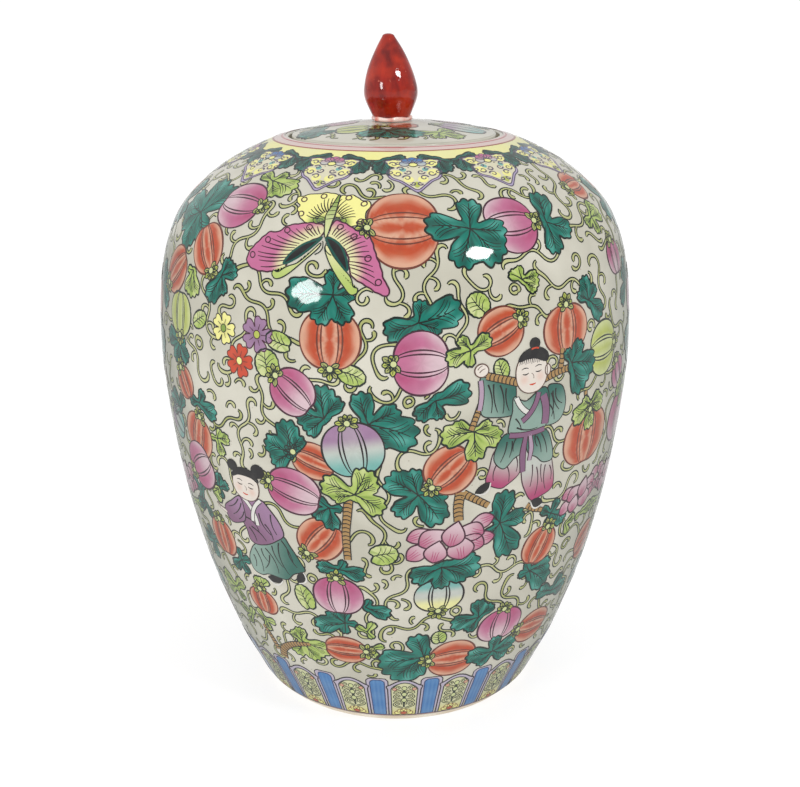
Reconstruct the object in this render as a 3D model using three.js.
// Ginger jar: a large ovoid lidded porcelain jar, in millimetres, +Z up.
// The origin is the centre of the foot, on the surface the jar stands on.
// The body is two turned sections luted together over a foot ring, with a rebated mouth.
// The lid is a low dome that lies flush in the rebate, located by a flange inside the mouth.
import * as THREE from "three";

// Driving dimensions.
const BELLY_RADIUS = 135.3;
const BELLY_HEIGHT = 221;
const FOOT_RADIUS = 78.5;
const FOOT_HEIGHT = 5;
const FOOT_BEVEL = 5;
const FOOT_RING_WIDTH = 9.5;
const RECESS_DEPTH = 8;
const FLOOR_THICKNESS = 8;
const WALL = 5.5;
const WAIST_SEAM = 168;
const SHOULDER_RIM_RADIUS = 60.2;
const SHOULDER_RIM_HEIGHT = 327;
const SEAT_RADIUS = 58.4;
const SEAT_DEPTH = 4.6;
const MOUTH_RADIUS = 50;
const MOUTH_DEPTH = 14;
const LID_CLEARANCE = 0.8;
const LID_CROWN_HEIGHT = 333.8;
const LID_THICKNESS = 5;
const FLANGE_RADIUS = 47.5;
const FLANGE_WALL = 4.5;
const FLANGE_DEPTH = 18;
const FINIAL_PAD_RADIUS = 13;
const FINIAL_COLLAR_RADIUS = 12.4;
const FINIAL_COLLAR_HEIGHT = 2.2;
const TIP_HEIGHT = 380.4;
const GAP = 0.3; // left between pieces that touch

const BODY_SEGMENTS = 64;
const FINIAL_SEGMENTS = 24;

// Colours of the glazed painted surface, the bare biscuit and the red glaze of the finial.
const GLAZE = { color: 0xd9d5c6, roughness: 0.18, metalness: 0 };
const BISCUIT = { color: 0xe6ded0, roughness: 0.85, metalness: 0 };
const RED_GLAZE = { color: 0xa62818, roughness: 0.12, metalness: 0 };
const PALE_GLAZE = { color: 0xe3b3a4, roughness: 0.2, metalness: 0 };

// Outside of the jar from the top of the foot bevel to the rim around the lid: [radius, height].
const BODY_OUTLINE = new THREE.SplineCurve(
  [
    [FOOT_RADIUS + FOOT_BEVEL, FOOT_HEIGHT],
    [96.5, 30],
    [113.6, 77],
    [126.2, 129],
    [133.6, 181],
    [BELLY_RADIUS, BELLY_HEIGHT],
    [131.8, 259],
    [121.4, 287],
    [104.6, 304.8],
    [87, 316.3],
    [67.2, 325.2],
    [SHOULDER_RIM_RADIUS, SHOULDER_RIM_HEIGHT],
  ].map(([radius, height]) => new THREE.Vector2(radius, height)),
);
const OUTLINE_STEPS = 22;

// Top of the lid from its rim to the flat pad that carries the finial.
const LID_OUTLINE = new THREE.SplineCurve(
  [
    [SEAT_RADIUS - LID_CLEARANCE, SHOULDER_RIM_HEIGHT + 0.1],
    [52, 328.6],
    [32, 332],
    [FINIAL_PAD_RADIUS, LID_CROWN_HEIGHT],
  ].map(([radius, height]) => new THREE.Vector2(radius, height)),
);
const LID_STEPS = 6;

// The bud, from its narrow waist to just under the tip.
const BUD_OUTLINE = new THREE.SplineCurve(
  [
    [10.8, LID_CROWN_HEIGHT + FINIAL_COLLAR_HEIGHT + 2 * GAP],
    [13.4, 342.5],
    [15.2, 349],
    [13.2, 359.5],
    [8.4, 370.5],
    [3.4, 379],
  ].map(([radius, height]) => new THREE.Vector2(radius, height)),
);
const BUD_STEPS = 12;

// The stretch of an outline between two heights, with a point exactly at each end.
function stretch(outline, steps, low, high) {
  const all = outline.getPoints(steps);
  const inside = all.filter((p) => p.y > low + 1 && p.y < high - 1);
  return [pointAtHeight(outline, low), ...inside, pointAtHeight(outline, high)];
}

// The point of a rising outline at one height, by halving its parameter's interval.
function pointAtHeight(outline, height) {
  let low = 0;
  let high = 1;
  for (let i = 0; i < 40; i += 1) {
    const middle = (low + high) / 2;
    if (outline.getPoint(middle).y < height) low = middle;
    else high = middle;
  }
  return outline.getPoint((low + high) / 2);
}

// The points moved inwards, square to the outline, by the thickness of the wall.
function inset(points, thickness) {
  return points.map((point, i) => {
    const before = points[Math.max(i - 1, 0)];
    const after = points[Math.min(i + 1, points.length - 1)];
    const along = after.clone().sub(before).normalize();
    return new THREE.Vector2(point.x - along.y * thickness, point.y + along.x * thickness);
  });
}

// A piece turned about the Z axis from a profile that runs up its outside.
function turned(name, profile, finish, segments = BODY_SEGMENTS) {
  const geometry = new THREE.LatheGeometry(profile, segments);
  geometry.rotateX(Math.PI / 2);
  const mesh = new THREE.Mesh(geometry, new THREE.MeshStandardMaterial(finish));
  mesh.name = name;
  return mesh;
}

function at(radius, height) {
  return new THREE.Vector2(radius, height);
}

// Bare ring that the jar stands on, with a bevelled outer edge.
function footRing() {
  const innerRadius = FOOT_RADIUS - FOOT_RING_WIDTH;
  return turned(
    "foot_ring",
    [
      at(innerRadius, 0),
      at(FOOT_RADIUS, 0),
      at(FOOT_RADIUS + FOOT_BEVEL, FOOT_HEIGHT - GAP),
      at(innerRadius, FOOT_HEIGHT - GAP),
      at(innerRadius, 0),
    ],
    BISCUIT,
  );
}

// Lower turned section: the floor, with a shallow recess under it, and the wall up to the waist.
function lowerBody() {
  const innerRadius = FOOT_RADIUS - FOOT_RING_WIDTH;
  const floorTop = RECESS_DEPTH + FLOOR_THICKNESS;
  const cove = 6; // rounds the inside corner between floor and wall
  const outside = stretch(BODY_OUTLINE, OUTLINE_STEPS, FOOT_HEIGHT, WAIST_SEAM - GAP / 2);
  const inside = inset(outside, WALL).filter((p) => p.y > floorTop + cove);
  const seamInside = at(inside.at(-1).x, WAIST_SEAM - GAP / 2);
  const wall = inside.slice(0, -1).reverse();
  return turned(
    "lower_body",
    [
      at(0, RECESS_DEPTH),
      at(innerRadius, RECESS_DEPTH),
      at(innerRadius, FOOT_HEIGHT),
      ...outside,
      seamInside,
      ...wall,
      at(wall.at(-1).x - cove, floorTop),
      at(0, floorTop),
    ],
    GLAZE,
  );
}

// Upper turned section: the belly and the shoulder, from the waist to the mouth collar.
function upperBody() {
  const outside = stretch(
    BODY_OUTLINE,
    OUTLINE_STEPS,
    WAIST_SEAM + GAP / 2,
    SHOULDER_RIM_HEIGHT,
  );
  const collarTop = SEAT_RADIUS + WALL;
  const inside = inset(outside, WALL).filter((p) => p.x > collarTop + 4);
  return turned(
    "upper_body",
    [
      ...outside,
      at(SHOULDER_RIM_RADIUS, SHOULDER_RIM_HEIGHT - 2),
      at(collarTop, SHOULDER_RIM_HEIGHT - SEAT_DEPTH - 3),
      ...inside.slice(1).reverse(),
      at(inside[0].x, WAIST_SEAM + GAP / 2),
      outside[0],
    ],
    GLAZE,
  );
}

// Bare ring inside the shoulder: the rebate that the lid lies in and the wall of the mouth.
function mouthCollar() {
  const top = SHOULDER_RIM_HEIGHT;
  const ledge = top - SEAT_DEPTH;
  const bottom = top - MOUTH_DEPTH;
  const rim = SHOULDER_RIM_RADIUS - GAP;
  return turned(
    "mouth_collar",
    [
      at(MOUTH_RADIUS, bottom),
      at(MOUTH_RADIUS + 4, bottom),
      at(rim, ledge - 2),
      at(rim, top),
      at(SEAT_RADIUS, top),
      at(SEAT_RADIUS, ledge),
      at(MOUTH_RADIUS, ledge),
      at(MOUTH_RADIUS, bottom),
    ],
    BISCUIT,
  );
}

// Low dome of the lid, flush with the shoulder, hollow inside the ring of its flange.
function lidDome() {
  const rim = SEAT_RADIUS - LID_CLEARANCE;
  const seat = SHOULDER_RIM_HEIGHT - SEAT_DEPTH + GAP;
  const flangeTop = seat + 1;
  const hollowRadius = FLANGE_RADIUS - FLANGE_WALL;
  return turned(
    "lid_dome",
    [
      at(0, LID_CROWN_HEIGHT - LID_THICKNESS),
      at(hollowRadius / 2, LID_CROWN_HEIGHT - LID_THICKNESS - 1),
      at(hollowRadius - 2, flangeTop + 2),
      at(hollowRadius, flangeTop),
      at(FLANGE_RADIUS + 1, flangeTop),
      at(FLANGE_RADIUS + 3, seat),
      at(rim, seat),
      ...LID_OUTLINE.getPoints(LID_STEPS),
      at(0, LID_CROWN_HEIGHT),
    ],
    GLAZE,
  );
}

// Bare ring under the dome that drops inside the mouth and keeps the lid central.
function lidFlange() {
  const top = SHOULDER_RIM_HEIGHT - SEAT_DEPTH + GAP + 1 - GAP;
  const inner = FLANGE_RADIUS - FLANGE_WALL;
  const taper = 1.5;
  return turned(
    "lid_flange",
    [
      at(inner, top - FLANGE_DEPTH),
      at(FLANGE_RADIUS - taper, top - FLANGE_DEPTH),
      at(FLANGE_RADIUS, top),
      at(inner, top),
      at(inner, top - FLANGE_DEPTH),
    ],
    BISCUIT,
  );
}

// Small pale ring that the bud is stuck down on.
function finialCollar() {
  const bottom = LID_CROWN_HEIGHT + GAP;
  const top = bottom + FINIAL_COLLAR_HEIGHT;
  const middle = (bottom + top) / 2;
  return turned(
    "finial_collar",
    [
      at(0, bottom),
      at(FINIAL_COLLAR_RADIUS - 0.6, bottom),
      at(FINIAL_COLLAR_RADIUS, middle),
      at(FINIAL_COLLAR_RADIUS - 0.8, top),
      at(0, top),
    ],
    PALE_GLAZE,
    FINIAL_SEGMENTS,
  );
}

// Pointed lotus bud that is the lid's handle.
function finialBud() {
  const outside = BUD_OUTLINE.getPoints(BUD_STEPS);
  return turned(
    "finial_bud",
    [at(0, outside[0].y), ...outside, at(0, TIP_HEIGHT)],
    RED_GLAZE,
    FINIAL_SEGMENTS,
  );
}

const body = new THREE.Group();
body.add(footRing(), lowerBody(), upperBody(), mouthCollar());

const lid = new THREE.Group();
lid.add(lidDome(), lidFlange(), finialCollar(), finialBud());

const jar = new THREE.Group();
jar.add(body, lid);

export default jar;
